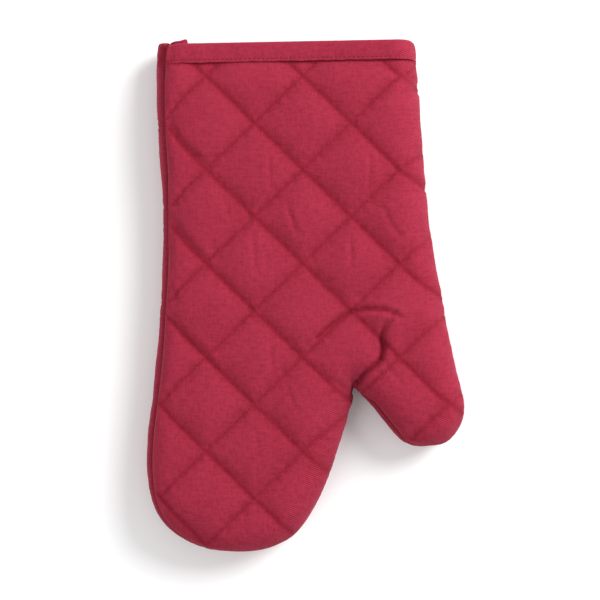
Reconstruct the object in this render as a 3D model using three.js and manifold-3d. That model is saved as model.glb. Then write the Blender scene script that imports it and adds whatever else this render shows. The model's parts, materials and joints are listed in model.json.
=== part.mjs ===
// A quilted oven mitt, lying on its back panel with the cuff towards +Y. Millimetres, +Z up.
//
// Each panel, front and back, is an outer shell, a batting and a lining, quilted together on a
// lattice of diagonals. A binding folds over the cuff edge of each panel, and a doubled tape
// sewn into the left end of the cuff is the hanging loop. The fabric bends where the fingers and
// the thumb leave the palm, so each layer is parted there into palm, fingers and thumb.
import * as THREE from 'three';
import { mergeVertices } from 'three/addons/utils/BufferGeometryUtils.js';
import Module from 'manifold-3d';

const wasm = await Module();
wasm.setup();

// Driving dimensions -------------------------------------------------------------------------

const SEAM_HEIGHT = 15; // the side seam above the table
const FRONT = { name: 'front', up: 1, rise: 21, roll: 15, cuffDrop: 3.2, cuffShift: 0 };
const BACK = { name: 'back', up: -1, rise: 15, roll: 12, cuffDrop: 2.6, cuffShift: 1.6 };
const PANELS = [FRONT, BACK];

const SHELL_THICK = 1;
const BATTING_THICK = 4.3;
const LINING_THICK = 0.8;
const THREAD_THICK = 0.6;
const BINDING_THICK = 1;
const GAP = 0.3; // between one layer and the next
const SEAM_GAP = 0.15; // from the seam plane to each panel
const FLEX_GAP = 0.3; // from a bending line to the fabric on each side of it
const CUFF_SQUEEZE = 2.4; // how much the batting is pressed under the binding
const PINCH_START = 134; // the panels begin to thin towards the cuff here
const PINCH_END = 146;

const CUFF_MIDDLE = 162; // height of the front cuff edge on the centre line
const CUFF_SLOPE = 0.0195; // the cuff edge climbs a little towards the thumb side
const CUFF_LEFT = -94;
const CUFF_RIGHT = 70;
const BINDING_HEIGHT = 12.7;
const BINDING_TURN = 1.6; // binding that closes over the raw edges
const STITCH_INSET = 1.9; // topstitching above the binding's lower edge
const STITCH_WIDTH = 1;

const QUILT_HALF = new THREE.Vector2(30.7, 29.8); // half the diagonals of one quilted diamond
const QUILT_CROSSING = new THREE.Vector2(-62.5, 139.7); // one place where two lines cross
const QUILT_LINES = 8; // lines each way from that crossing
const QUILT_THREAD_WIDTH = 1.2;
const WALL_HEIGHT = 100; // cutting walls, taller than the mitt is thick
const PALM_EDGE_INSET = 12; // from a section's edges to the run of stitches that ends its quilting
const FINGERS_EDGE_INSET = 14;
const THUMB_EDGE_INSET = 13;
const CUFF_INSET = 14; // and as much more below the cuff
const SEAM_THREAD_INSET = 11;
const SEAM_THREAD_RADIUS = 0.5;

const LOOP_LENGTH = 11.4;
const LOOP_WIDTH = 11.9;
const LOOP_HEIGHT = 7.2;
const LOOP_THICK = 1;
const LOOP_CORNER = 2;
const LOOP_PIVOT = new THREE.Vector3(-84.9, 162.45, SEAM_HEIGHT);
const LOOP_BEHIND_PIVOT = 1.3; // tape on the sewn side of the pivot
const LOOP_ABOVE_PIVOT = 0.5; // tape on the open side of the pivot
const LOOP_TILT = THREE.MathUtils.degToRad(12.9);
const BARTACK_SIZE = [1.6, 4.5, 4];
const BARTACK_PLACE = [-87.4, 155, SEAM_HEIGHT];

const CRIMSON = '#a62e44';
const DARK_CRIMSON = '#7d1f33';
const COTTON_WHITE = '#e8e2d4';

// Outline of the side seam, each stretch from the cuff towards the tips and back ---------------

const CROTCH = [32, -59];
const FINGERS_START = [-97, -62];
const THUMB_START = [95.3, -37.5];

const OUTLINE = {
  palmLeft: curve([[CUFF_LEFT, cuffEdge(CUFF_LEFT)], [-95, 140], [-91.2, 70], [-92.3, -8],
    FINGERS_START]),
  fingersLeft: curve([FINGERS_START, [-100.9, -90], [-100.9, -116], [-96, -136]]),
  fingersTip: curve([[-96, -136], [-83.5, -152], [-64, -162], [-42, -165], [-22, -162],
    [-5.3, -152], [6.6, -136]]),
  fingersRight: curve([[6.6, -136], [15.2, -116], [22.4, -95], [28.1, -75], CROTCH]),
  thumbLeft: curve([CROTCH, [42.3, -69.7], [50.5, -80], [59.6, -90.2]]),
  thumbTip: curve([[59.6, -90.2], [66.9, -95.3], [77, -97], [88.2, -95.3], [95.2, -90.2]]),
  thumbRight: curve([[95.2, -90.2], [101.2, -80], [102, -68], [100, -56], THUMB_START]),
  palmRight: curve([THUMB_START, [89.2, -8], [82, 33], [77.2, 74], [73.5, 136],
    [CUFF_RIGHT, cuffEdge(CUFF_RIGHT)]]),
};
const OUTLINE_STEPS = 12;
const SEAM_LINE = Object.values(OUTLINE).map((stretch) => stretch.getSpacedPoints(OUTLINE_STEPS));

function curve(points) {
  return new THREE.SplineCurve(points.map(([x, y]) => new THREE.Vector2(x, y)));
}

// Height along +Y of the front panel's cuff edge.
function cuffEdge(x) {
  return CUFF_MIDDLE + CUFF_SLOPE * x;
}

// Distance from a point to the side seam.
function seamDistance(point) {
  let nearest = Infinity;
  for (const stretch of SEAM_LINE) {
    for (let i = 1; i < stretch.length; i++) {
      const along = new THREE.Vector2().subVectors(stretch[i], stretch[i - 1]);
      const from = new THREE.Vector2().subVectors(point, stretch[i - 1]);
      const t = THREE.MathUtils.clamp(from.dot(along) / along.lengthSq(), 0, 1);
      nearest = Math.min(nearest, from.addScaledVector(along, -t).length());
    }
  }
  return nearest;
}

// Heights of the layers ------------------------------------------------------------------------

// The depth of each layer's outer and inner face below the panel's outer face.
const BATTING_DEPTH = SHELL_THICK + GAP;
const LINING_DEPTH = BATTING_DEPTH + BATTING_THICK + GAP;
const THREAD_DEPTH = LINING_DEPTH + LINING_THICK + GAP;
const LAYERS = {
  shell: [0, SHELL_THICK],
  batting: [BATTING_DEPTH, BATTING_DEPTH + BATTING_THICK],
  lining: [LINING_DEPTH, LINING_DEPTH + LINING_THICK],
};

// Height of a panel's face at a depth, a distance in from the seam. The face rises from the
// seam as a quarter ellipse and then runs level. It goes on below the seam so that a cut at the
// seam plane gives the layer its true rim.
function faceHeight(panel, depth, distance, y) {
  const pinch = THREE.MathUtils.smoothstep(y, PINCH_START, PINCH_END);
  const pressed = depth > BATTING_DEPTH ? depth - CUFF_SQUEEZE * pinch : depth;
  const rise = panel.rise - panel.cuffDrop * pinch - pressed;
  const reach = Math.min((distance - pressed) / (panel.roll - pressed), 1);
  const lift = reach < 0 ? distance - pressed : rise * Math.sqrt(1 - (1 - reach) ** 2);
  return SEAM_HEIGHT + panel.up * lift;
}

// Solids -----------------------------------------------------------------------------------------

// A closed body between two faces given on the same grid of rows and columns.
function closedSheet(rows, columns, outerPoint, innerPoint) {
  const positions = [];
  for (const pointAt of [outerPoint, innerPoint]) {
    for (let i = 0; i < rows; i++) {
      for (let j = 0; j < columns; j++) positions.push(...pointAt(i, j).toArray());
    }
  }
  const outer = (i, j) => i * columns + j;
  const inner = (i, j) => rows * columns + outer(i, j);
  const quads = [];
  for (let i = 1; i < rows; i++) {
    for (let j = 1; j < columns; j++) {
      quads.push([outer(i - 1, j - 1), outer(i, j - 1), outer(i, j), outer(i - 1, j)]);
      quads.push([inner(i, j), inner(i, j - 1), inner(i - 1, j - 1), inner(i - 1, j)]);
    }
    quads.push([outer(i, 0), outer(i - 1, 0), inner(i - 1, 0), inner(i, 0)]);
    const last = columns - 1;
    quads.push([outer(i - 1, last), outer(i, last), inner(i, last), inner(i - 1, last)]);
  }
  for (let j = 1; j < columns; j++) {
    const last = rows - 1;
    quads.push([outer(0, j - 1), outer(0, j), inner(0, j), inner(0, j - 1)]);
    quads.push([outer(last, j), outer(last, j - 1), inner(last, j - 1), inner(last, j)]);
  }
  const geometry = new THREE.BufferGeometry();
  geometry.setAttribute('position', new THREE.Float32BufferAttribute(positions, 3));
  geometry.setIndex(quads.flatMap(([a, b, c, d]) => [a, b, c, a, c, d]));
  return facingOut(geometry);
}

// The same geometry with its faces turned over if they point in.
function facingOut(geometry) {
  const corners = geometry.getAttribute('position');
  const index = geometry.getIndex().array;
  const [a, b, c] = [0, 0, 0].map(() => new THREE.Vector3());
  let volume = 0;
  for (let i = 0; i < index.length; i += 3) {
    a.fromBufferAttribute(corners, index[i]);
    b.fromBufferAttribute(corners, index[i + 1]);
    c.fromBufferAttribute(corners, index[i + 2]);
    volume += a.dot(b.cross(c));
  }
  if (volume < 0) index.reverse();
  return geometry;
}

function toSolid(geometry) {
  const bare = geometry.clone();
  bare.deleteAttribute('normal');
  bare.deleteAttribute('uv');
  const merged = mergeVertices(bare, 1e-4);
  return new wasm.Manifold(new wasm.Mesh({
    numProp: 3,
    vertProperties: new Float32Array(merged.getAttribute('position').array),
    triVerts: new Uint32Array(merged.getIndex().array),
  }));
}

function toGeometry(solid) {
  const { vertProperties, triVerts } = solid.getMesh();
  const geometry = new THREE.BufferGeometry();
  geometry.setAttribute('position', new THREE.BufferAttribute(vertProperties, 3));
  geometry.setIndex(new THREE.BufferAttribute(triVerts, 1));
  return geometry;
}

// The space on one panel's side of the seam plane.
function panelSide(panel) {
  const size = 500;
  const box = new THREE.BoxGeometry(size, size, size);
  return toSolid(box.translate(0, 0, SEAM_HEIGHT + panel.up * (SEAM_GAP + size / 2)));
}

// Palm, fingers and thumb as grids -----------------------------------------------------------------

// Fractions of a length where a grid line runs: distances in from each end, and fractions between.
function spacing(length, { start = [], end = [], between = [] }) {
  const near = start.map((distance) => distance / length);
  const far = end.map((distance) => 1 - distance / length);
  return [0, ...near, ...between, ...far.reverse(), 1];
}

const ROLL_STEPS = [2, 6, 15]; // grid lines in from a seam, where the fabric rolls over
const CROTCH_FRACTION = (CROTCH[0] - FINGERS_START[0]) / (THUMB_START[0] - FINGERS_START[0]);

// A point of the patch between four edges, each a function of a fraction from 0 to 1.
function patchPoint({ top, bottom, left, right }, u, v) {
  const point = new THREE.Vector2();
  point.addScaledVector(top(u), 1 - v).addScaledVector(bottom(u), v);
  point.addScaledVector(left(v), 1 - u).addScaledVector(right(v), u);
  point.addScaledVector(top(0), -(1 - u) * (1 - v)).addScaledVector(top(1), -u * (1 - v));
  return point.addScaledVector(bottom(0), -(1 - u) * v).addScaledVector(bottom(1), -u * v);
}

function line(from, to) {
  const [a, b] = [new THREE.Vector2(...from), new THREE.Vector2(...to)];
  return (t) => new THREE.Vector2().lerpVectors(a, b, t);
}

// A line moved sideways, towards +Y for a positive distance.
function movedLine(from, to, distance) {
  const along = new THREE.Vector2(to[0] - from[0], to[1] - from[1]).normalize();
  const move = ([x, y]) => [x - along.y * distance, y + along.x * distance];
  return line(move(from), move(to));
}

function palmPatch(panel, belowCuff = BINDING_TURN + GAP) {
  const rawEdge = belowCuff - panel.cuffShift;
  const onCuff = (x) => [x, cuffEdge(x) - rawEdge];
  const fingersLine = movedLine(FINGERS_START, CROTCH, FLEX_GAP);
  const thumbLine = movedLine(CROTCH, THUMB_START, FLEX_GAP);
  const top = line(onCuff(CUFF_LEFT), onCuff(CUFF_RIGHT));
  const bottom = (u) => (u < CROTCH_FRACTION
    ? fingersLine(u / CROTCH_FRACTION)
    : thumbLine((u - CROTCH_FRACTION) / (1 - CROTCH_FRACTION)));
  const [width, length] = [180, 215];
  const besideCrotch = [-14, -5, 0, 5, 14].map((x) => CROTCH_FRACTION + x / width);
  return {
    edges: {
      top,
      bottom,
      left: stretchBetween(OUTLINE.palmLeft, top(0), bottom(0)),
      right: stretchBetween(OUTLINE.palmRight, top(1), bottom(1)),
    },
    columns: spacing(width, {
      start: ROLL_STEPS, end: ROLL_STEPS, between: [0.25, 0.42, ...besideCrotch],
    }),
    rows: spacing(length, { start: [13, 26], end: [5, 14], between: [0.35, 0.6, 0.8] }),
    width,
    length,
    edgeInset: PALM_EDGE_INSET,
    cuffInset: CUFF_INSET,
  };
}

function fingersPatch() {
  const [width, length] = [120, 90];
  const top = movedLine(FINGERS_START, CROTCH, -FLEX_GAP);
  const bottom = (u) => OUTLINE.fingersTip.getPointAt(u);
  return {
    edges: {
      top,
      bottom,
      left: stretchBetween(OUTLINE.fingersLeft, top(0), bottom(0)),
      right: stretchBetween(OUTLINE.fingersRight, top(1), bottom(1)),
    },
    columns: spacing(width, { start: ROLL_STEPS, end: ROLL_STEPS, between: [0.35, 0.5, 0.65] }),
    rows: spacing(length, { end: ROLL_STEPS, between: [0.14, 0.4, 0.65] }),
    width,
    length,
    edgeInset: FINGERS_EDGE_INSET,
    cuffInset: 0,
  };
}

function thumbPatch() {
  const [width, length] = [58, 50];
  const top = movedLine(CROTCH, THUMB_START, -FLEX_GAP);
  const bottom = (u) => OUTLINE.thumbTip.getPointAt(u);
  return {
    edges: {
      top,
      bottom,
      left: stretchBetween(OUTLINE.thumbLeft, top(0), bottom(0)),
      right: stretchBetween(OUTLINE.thumbRight, top(1), bottom(1)),
    },
    columns: spacing(width, { start: ROLL_STEPS, end: ROLL_STEPS, between: [0.5] }),
    rows: spacing(length, { end: ROLL_STEPS, between: [0.22, 0.48] }),
    width,
    length,
    edgeInset: THUMB_EDGE_INSET,
    cuffInset: 0,
  };
}

// The part of an outline stretch between the heights of two points, whichever way it runs.
function stretchBetween(outline, from, to) {
  const points = outline.getSpacedPoints(4 * OUTLINE_STEPS);
  const falling = points[0].y > points.at(-1).y ? points : points.reverse();
  const inside = falling.filter(({ y }) => y < from.y - 0.5 && y > to.y + 0.5);
  const path = new THREE.Path([from, ...inside, to]);
  return (t) => path.getPointAt(t);
}

const SECTIONS = { palm: palmPatch, fingers: fingersPatch, thumb: thumbPatch };

// One layer of one section of a panel, as a solid. It can be widened past both side seams.
function layerSolid(panel, { edges, columns, rows }, [outerDepth, innerDepth], widen = 0) {
  const grid = rows.map((v) => columns.map((u) => {
    const point = patchPoint(edges, u, v);
    if (u > 0 && u < 1) return { point, distance: seamDistance(point) };
    point.x += u === 0 ? -widen : widen;
    return { point, distance: -widen };
  }));
  const faceAt = (depth) => (i, j) => {
    const { point, distance } = grid[i][j];
    return new THREE.Vector3(point.x, point.y, faceHeight(panel, depth, distance, point.y));
  };
  const sheet = closedSheet(rows.length, columns.length, faceAt(outerDepth), faceAt(innerDepth));
  return toSolid(sheet).intersect(panelSide(panel));
}

// Quilting and seams --------------------------------------------------------------------------------

// The seam outline moved in by a distance, for one or more stretches, as points in order.
function insetPoints(names, inset) {
  const points = [];
  for (const name of names) {
    const stretch = OUTLINE[name];
    for (let i = 0; i <= OUTLINE_STEPS; i++) {
      const t = i / OUTLINE_STEPS;
      const tangent = stretch.getTangentAt(t);
      const inward = new THREE.Vector2(-tangent.y, tangent.x).multiplyScalar(inset);
      const point = stretch.getPointAt(t).add(inward);
      if (seamDistance(point) > inset - 0.5) points.push(point);
    }
  }
  return points;
}

// An upright wall along the line from one point to another.
function wallBetween(from, to) {
  const along = new THREE.Vector2().subVectors(to, from);
  const wall = new THREE.BoxGeometry(along.length(), QUILT_THREAD_WIDTH, WALL_HEIGHT);
  wall.rotateZ(along.angle());
  return toSolid(wall.translate((from.x + to.x) / 2, (from.y + to.y) / 2, SEAM_HEIGHT));
}

// Walls over every quilting line.
function latticeWalls() {
  const reach = 350;
  const slope = QUILT_HALF.y / QUILT_HALF.x;
  const walls = [];
  for (let k = -QUILT_LINES; k <= QUILT_LINES; k++) {
    const middle = QUILT_CROSSING.clone().add(new THREE.Vector2(0, 2 * k * QUILT_HALF.y));
    for (const lean of [-1, 1]) {
      const arm = new THREE.Vector2(reach, lean * slope * reach);
      walls.push(wallBetween(middle.clone().sub(arm), middle.clone().add(arm)));
    }
  }
  return walls.reduce((joined, wall) => joined.add(wall));
}

// An upright block over the middle of a section, in from its edges.
function middleBlock({ edges, width, length, edgeInset, cuffInset }, narrower) {
  const inset = edgeInset + narrower;
  const [side, top, bottom] = [inset / width, (inset + cuffInset) / length, inset / length];
  const steps = 6;
  const corners = [[side, top], [1 - side, top], [1 - side, 1 - bottom], [side, 1 - bottom]];
  const ring = corners.flatMap(([u, v], i) => {
    const [nextU, nextV] = corners[(i + 1) % corners.length];
    return Array.from({ length: steps }, (_, k) => patchPoint(edges,
      THREE.MathUtils.lerp(u, nextU, k / steps), THREE.MathUtils.lerp(v, nextV, k / steps)));
  });
  const block = new THREE.ExtrudeGeometry(new THREE.Shape(ring), {
    depth: WALL_HEIGHT, bevelEnabled: false,
  });
  return toSolid(block.translate(0, 0, SEAM_HEIGHT - WALL_HEIGHT / 2));
}

// The quilting thread of a section: its lattice, held together by a run of stitches round it.
function quiltingThread(panel, patch, lattice) {
  const gaps = middleBlock(patch, QUILT_THREAD_WIDTH).subtract(lattice);
  const stitched = middleBlock(patch, 0).subtract(gaps);
  const depths = [THREAD_DEPTH, THREAD_DEPTH + THREAD_THICK];
  return layerSolid(panel, patch, depths).intersect(stitched);
}

// A run of seam thread along stretches of the outline, between two heights in Y.
function seamThread(names, highest, lowest = -Infinity) {
  const points = insetPoints(names, SEAM_THREAD_INSET).filter(
    ({ y }) => y < highest && y > lowest,
  );
  const path = new THREE.CatmullRomCurve3(
    points.map(({ x, y }) => new THREE.Vector3(x, y, SEAM_HEIGHT)),
  );
  const sides = 6;
  const section = new THREE.Shape(Array.from({ length: sides }, (_, i) => {
    const angle = (2 * Math.PI * i) / sides;
    return new THREE.Vector2(Math.cos(angle), Math.sin(angle)).multiplyScalar(SEAM_THREAD_RADIUS);
  }));
  return new THREE.ExtrudeGeometry(section, { steps: points.length, extrudePath: path });
}

// Cuff -----------------------------------------------------------------------------------------------

// A band across the cuff between two depths. Its rows follow the cuff edge, at distances below it.
function cuffBand(panel, [outerDepth, innerDepth], [topBelow, bottomBelow]) {
  const width = CUFF_RIGHT - CUFF_LEFT;
  const leftSteps = [outerDepth, 0, ...ROLL_STEPS];
  const rightSteps = leftSteps.map((distance) => width - distance).reverse();
  const columns = [...leftSteps, width / 2, ...rightSteps];
  const rows = [topBelow, bottomBelow];
  const faceAt = (depth) => (i, j) => {
    const x = CUFF_LEFT + columns[j];
    const distance = Math.min(columns[j], width - columns[j]);
    const y = cuffEdge(x) + panel.cuffShift - rows[i];
    return new THREE.Vector3(x, y, faceHeight(panel, depth, distance, PINCH_END));
  };
  const sheet = closedSheet(rows.length, columns.length, faceAt(outerDepth), faceAt(innerDepth));
  return toSolid(sheet).intersect(panelSide(panel));
}

function cuffBinding(panel) {
  const liningFace = LINING_DEPTH + LINING_THICK;
  const outside = -GAP - BINDING_THICK;
  const whole = cuffBand(panel, [outside, liningFace + GAP + BINDING_THICK], [0, BINDING_HEIGHT]);
  const pocket = layerSolid(panel, palmPatch(panel, BINDING_TURN), [-GAP, liningFace + GAP], GAP);
  return whole.subtract(pocket);
}

function bindingStitching(panel) {
  const face = -2 * GAP - BINDING_THICK;
  const middle = BINDING_HEIGHT - STITCH_INSET;
  return cuffBand(panel, [face - THREAD_THICK / 2, face],
    [middle - STITCH_WIDTH / 2, middle + STITCH_WIDTH / 2]);
}

// Hanging loop ----------------------------------------------------------------------------------------

function roundedRectangle(path, x, y, width, height, radius) {
  path.moveTo(x + radius, y);
  path.lineTo(x + width - radius, y);
  path.absarc(x + width - radius, y + radius, radius, -Math.PI / 2, 0);
  path.absarc(x + width - radius, y + height - radius, radius, 0, Math.PI / 2);
  path.absarc(x + radius, y + height - radius, radius, Math.PI / 2, Math.PI);
  path.absarc(x + radius, y + radius, radius, Math.PI, 1.5 * Math.PI);
  return path;
}

// The doubled tape, its sewn end at the origin and its eye along Y.
function loopGeometry() {
  const tape = roundedRectangle(new THREE.Shape(), -LOOP_BEHIND_PIVOT, -LOOP_HEIGHT / 2,
    LOOP_LENGTH, LOOP_HEIGHT, LOOP_CORNER);
  tape.holes.push(roundedRectangle(new THREE.Path(), LOOP_THICK - LOOP_BEHIND_PIVOT,
    LOOP_THICK - LOOP_HEIGHT / 2, LOOP_LENGTH - 2 * LOOP_THICK, LOOP_HEIGHT - 2 * LOOP_THICK,
    LOOP_CORNER - LOOP_THICK));
  const band = new THREE.ExtrudeGeometry(tape, {
    depth: LOOP_WIDTH, bevelEnabled: false, curveSegments: 4,
  });
  return band.rotateX(Math.PI / 2).translate(0, LOOP_ABOVE_PIVOT, 0);
}

function bartackGeometry() {
  return new THREE.BoxGeometry(...BARTACK_SIZE).translate(...BARTACK_PLACE);
}

// Assembly ----------------------------------------------------------------------------------------------

function piece(name, geometry, color, roughness = 0.9) {
  const mesh = new THREE.Mesh(
    geometry, new THREE.MeshStandardMaterial({ color, roughness, metalness: 0 }),
  );
  mesh.name = name;
  return mesh;
}

const LAYER_COLOURS = { shell: CRIMSON, batting: COTTON_WHITE, lining: DARK_CRIMSON };

function panelPieces(panel, lattice) {
  const pieces = [];
  for (const [section, patchOf] of Object.entries(SECTIONS)) {
    const patch = patchOf(panel);
    const name = `${panel.name}_${section}`;
    for (const [layer, depths] of Object.entries(LAYERS)) {
      const sheet = toGeometry(layerSolid(panel, patch, depths));
      pieces.push(piece(`${name}_${layer}`, sheet, LAYER_COLOURS[layer]));
    }
    const thread = toGeometry(quiltingThread(panel, patch, lattice));
    pieces.push(piece(`${name}_quilting_thread`, thread, CRIMSON));
  }
  const binding = toGeometry(cuffBinding(panel));
  const stitching = toGeometry(bindingStitching(panel));
  pieces.push(piece(`${panel.name}_cuff_binding`, binding, CRIMSON));
  pieces.push(piece(`${panel.name}_binding_stitching`, stitching, CRIMSON));
  return pieces;
}

function seamThreads() {
  const cuffEnd = CUFF_MIDDLE - BINDING_HEIGHT;
  return [
    piece('left_seam_thread', seamThread(['palmLeft'], cuffEnd, FINGERS_START[1] + 1), CRIMSON),
    piece('fingers_seam_thread', seamThread(['fingersLeft', 'fingersTip', 'fingersRight'],
      FINGERS_START[1] - 1), CRIMSON),
    piece('thumb_seam_thread', seamThread(['thumbLeft', 'thumbTip', 'thumbRight'],
      CROTCH[1] - 1), CRIMSON),
    piece('right_seam_thread', seamThread(['palmRight'], cuffEnd, THUMB_START[1] + 4), CRIMSON),
  ];
}

function hangingLoop() {
  const loop = piece('hanging_loop', loopGeometry(), CRIMSON);
  loop.position.copy(LOOP_PIVOT);
  loop.rotation.z = LOOP_TILT;
  return loop;
}

const mitt = new THREE.Group();
const lattice = latticeWalls();
PANELS.forEach((panel) => mitt.add(...panelPieces(panel, lattice)));
mitt.add(...seamThreads(), hangingLoop(), piece('loop_bartack', bartackGeometry(), CRIMSON));

// The origin is at the centre of the mitt's footprint, on the table.
const centre = new THREE.Box3().setFromObject(mitt).getCenter(new THREE.Vector3());
mitt.position.set(-centre.x, -centre.y, 0);

export default mitt;
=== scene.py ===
"""A quilted cotton oven mitt lying on its back panel, built round its CAD frame. Lengths in millimetres
until a mesh is made, which is in metres."""
import json
import math

import bmesh
import bpy
import numpy as np
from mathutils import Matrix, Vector
from mathutils.geometry import delaunay_2d_cdt


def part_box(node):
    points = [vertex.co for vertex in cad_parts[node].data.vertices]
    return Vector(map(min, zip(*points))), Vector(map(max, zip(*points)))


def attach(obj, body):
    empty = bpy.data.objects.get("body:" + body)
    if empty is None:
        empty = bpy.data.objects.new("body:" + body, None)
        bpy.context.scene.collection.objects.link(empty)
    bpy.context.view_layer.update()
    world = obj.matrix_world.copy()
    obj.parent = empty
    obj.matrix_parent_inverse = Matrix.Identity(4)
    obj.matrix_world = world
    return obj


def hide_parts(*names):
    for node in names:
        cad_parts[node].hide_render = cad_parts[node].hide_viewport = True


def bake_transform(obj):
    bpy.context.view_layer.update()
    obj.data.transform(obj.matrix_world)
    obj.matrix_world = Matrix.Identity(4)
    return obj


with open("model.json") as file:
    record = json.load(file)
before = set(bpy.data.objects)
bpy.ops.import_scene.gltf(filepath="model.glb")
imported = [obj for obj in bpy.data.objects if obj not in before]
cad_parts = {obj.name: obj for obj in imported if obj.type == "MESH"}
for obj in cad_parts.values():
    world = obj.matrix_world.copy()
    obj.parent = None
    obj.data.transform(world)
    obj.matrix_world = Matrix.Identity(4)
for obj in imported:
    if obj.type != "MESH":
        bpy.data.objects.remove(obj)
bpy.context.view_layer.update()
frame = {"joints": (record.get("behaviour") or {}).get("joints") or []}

MM = 0.001

# Shape of the mitt, which follows the CAD frame's to within half a millimetre ---------------------

CROTCH = (32.0, -58.7)
THUMB_ROOT = (95.3, -37.5)  # where the thumb's bending line meets the outer edge
HAND_EDGE = [(-93.2, 172), (-94, 160.2), (-95.3, 143), (-94.6, 115), (-91.4, 70), (-90.8, 33), (-92.3, -8),
             (-97, -62), (-100.6, -90), (-100.9, -114), (-96.1, -136), (-83.5, -152), (-64, -162),
             (-42, -165), (-22.3, -162), (-5.3, -152), (6.6, -136), (15.2, -116), (22.4, -95),
             (28.1, -75), CROTCH]
THUMB_EDGE = [CROTCH, (42.3, -69.7), (50.5, -80), (59.6, -90.2), (66.9, -95.3), (77, -97), (88.2, -95.3),
              (95.2, -90.2), (101.2, -80), (102, -68), (97.7, -49), (89.2, -8), (81.9, 33), (77.2, 74),
              (74.2, 115), (72.3, 143), (70.4, 163), (69.4, 172)]
CUFF_MIDDLE = 162.0
CUFF_SLOPE = 0.0195
CORNER_START, CORNER_DROP = 62.0, 2.2  # the thumb end of the cuff edge is a little rounded
BINDING_HEIGHT = 12.7
BINDING_TURN = 1.6

SEAM_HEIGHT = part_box("front_palm_shell")[0].z / MM - 0.15
FRONT_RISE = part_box("front_palm_shell")[1].z / MM - SEAM_HEIGHT
BACK_DROP = SEAM_HEIGHT
ROLL = 15.0  # how far in from the outline the fabric curves
SEAM_LEAN, LEAN_MIDDLE, LEAN_CUFF = 10.0, 27.0, 14.0  # degrees that the side seam is rolled to the front
FRONT_CUFF_DROP, BACK_CUFF_DROP = 3.2, 2.6
PINCH_START, PINCH_END = 134.0, 146.0
SHELL_DEPTH = 2.5  # of the stitched lines below the level of the diamonds
SHELL_THICK = 0.6
TABLE_CLEARANCE = 0.25  # of the lowest fabric
BATTING_INSET = 1.8  # from the seams and the raw edge at the cuff
LINING_DEPTH = 7.0
LINING_THICK = 0.4
CUFF_SQUEEZE = 2.3

QUILT_HALF = np.array([30.7, 29.8])
QUILT_CROSSING = np.array([-62.5, 139.7])
SHELL_STEPS = 16  # grid lines of the outer cloth in the side of one diamond
LINING_STEPS = 8
STITCH_ROW = 1.9  # topstitching above the binding's lower edge
SEAM_RINGS = (1.0, 2.2, 3.8)  # rows of places in from the seam, where its edge is rolled
UNDER_CUFF = 145.0, 149.0  # from the first to the second the binding comes to hold the shell flat

SIM_SCALE = 10  # the cloth is simulated enlarged, where the solver's settings suit it
SIM_FRAMES = 30
CLOTH_SLACK = 0.05, 0.022, 0.004  # shares by which the shell is cut too large, along X, Y and Z
PUFF_PRESSURE = 60.0
PUFF_LIMIT = 3.0  # the most that the pressure may lift the cloth


class Panel:
    def __init__(self, name, up, cuff_shift):
        self.name, self.up, self.cuff_shift = name, up, cuff_shift


FRONT = Panel("front", 1, 0.0)
BACK = Panel("back", -1, 1.6)


def smooth_line(points, per_span=14):
    """A smooth curve through the points, as an array of places about 1 mm apart."""
    p = np.array(points, float)
    p = np.vstack([2 * p[0] - p[1], p, 2 * p[-1] - p[-2]])
    t = np.linspace(0, 1, per_span, endpoint=False)[:, None]
    spans = []
    for a, b, c, d in zip(p[:-3], p[1:-2], p[2:-1], p[3:]):
        spans.append(b + t * (c - a) / 2 + t**2 * (a - 2.5 * b + 2 * c - d / 2)
                     + t**3 * (1.5 * (b - c) + (d - a) / 2))
    return np.vstack(spans + [p[-2:-1]])


def evenly(line, step):
    """Points about one step apart along a line, both its ends included."""
    run = np.r_[0, np.cumsum(np.linalg.norm(np.diff(line, axis=0), axis=1))]
    at = np.linspace(0, run[-1], max(2, round(run[-1] / step) + 1))
    return np.column_stack([np.interp(at, run, line[:, k]) for k in range(line.shape[1])])


def smoothstep(x, start, end):
    t = np.clip((np.asarray(x, float) - start) / (end - start), 0, 1)
    return t * t * (3 - 2 * t)


# The outline as even steps, from the left end of the cuff round the fingers and the thumb to the right end.
OUTLINE = evenly(np.vstack([smooth_line(HAND_EDGE), smooth_line(THUMB_EDGE)[1:]]), 1.0)


def outline_inward():
    along = np.gradient(OUTLINE, axis=0)
    along /= np.linalg.norm(along, axis=1)[:, None]
    return np.column_stack([-along[:, 1], along[:, 0]])


INWARD = outline_inward()


def outline_lean():
    """The angle at which the side seam sits on the edge's curve: towards the front along the little
    finger's side, and round to the back along the thumb's side."""
    reach = LEAN_MIDDLE + LEAN_CUFF * smoothstep(OUTLINE[:, 1], 40, 150)
    lean = np.radians(SEAM_LEAN + reach * INWARD[:, 0])
    width = 31
    padded = np.pad(lean, width // 2, mode="edge")
    return np.convolve(padded, np.ones(width) / width, mode="valid")


LEAN = outline_lean()


def edge_facts(flat):
    """For places on a panel: distance from the outline, direction in from it, and the seam's lean there."""
    start, along = OUTLINE[:-1], np.diff(OUTLINE, axis=0)
    length2 = (along**2).sum(1)
    best = np.full(len(flat), np.inf)
    where, share = np.zeros(len(flat), int), np.zeros(len(flat))
    for i in range(len(start)):
        away = flat - start[i]
        t = np.clip(away @ along[i] / length2[i], 0, 1)
        gap = ((away - t[:, None] * along[i])**2).sum(1)
        nearer = gap < best
        best[nearer], where[nearer], share[nearer] = gap[nearer], i, t[nearer]
    foot = start[where] + share[:, None] * along[where]
    distance = np.sqrt(best)
    inward = INWARD[where] * (1 - share[:, None]) + INWARD[where + 1] * share[:, None]
    outside = ((flat - foot) * inward).sum(1) < 0
    distance[outside] = 0
    clear = distance > 0.05
    inward[clear] = (flat - foot)[clear] / distance[clear, None]
    lean = LEAN[where] * (1 - share) + LEAN[where + 1] * share
    return distance, inward, lean


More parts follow.
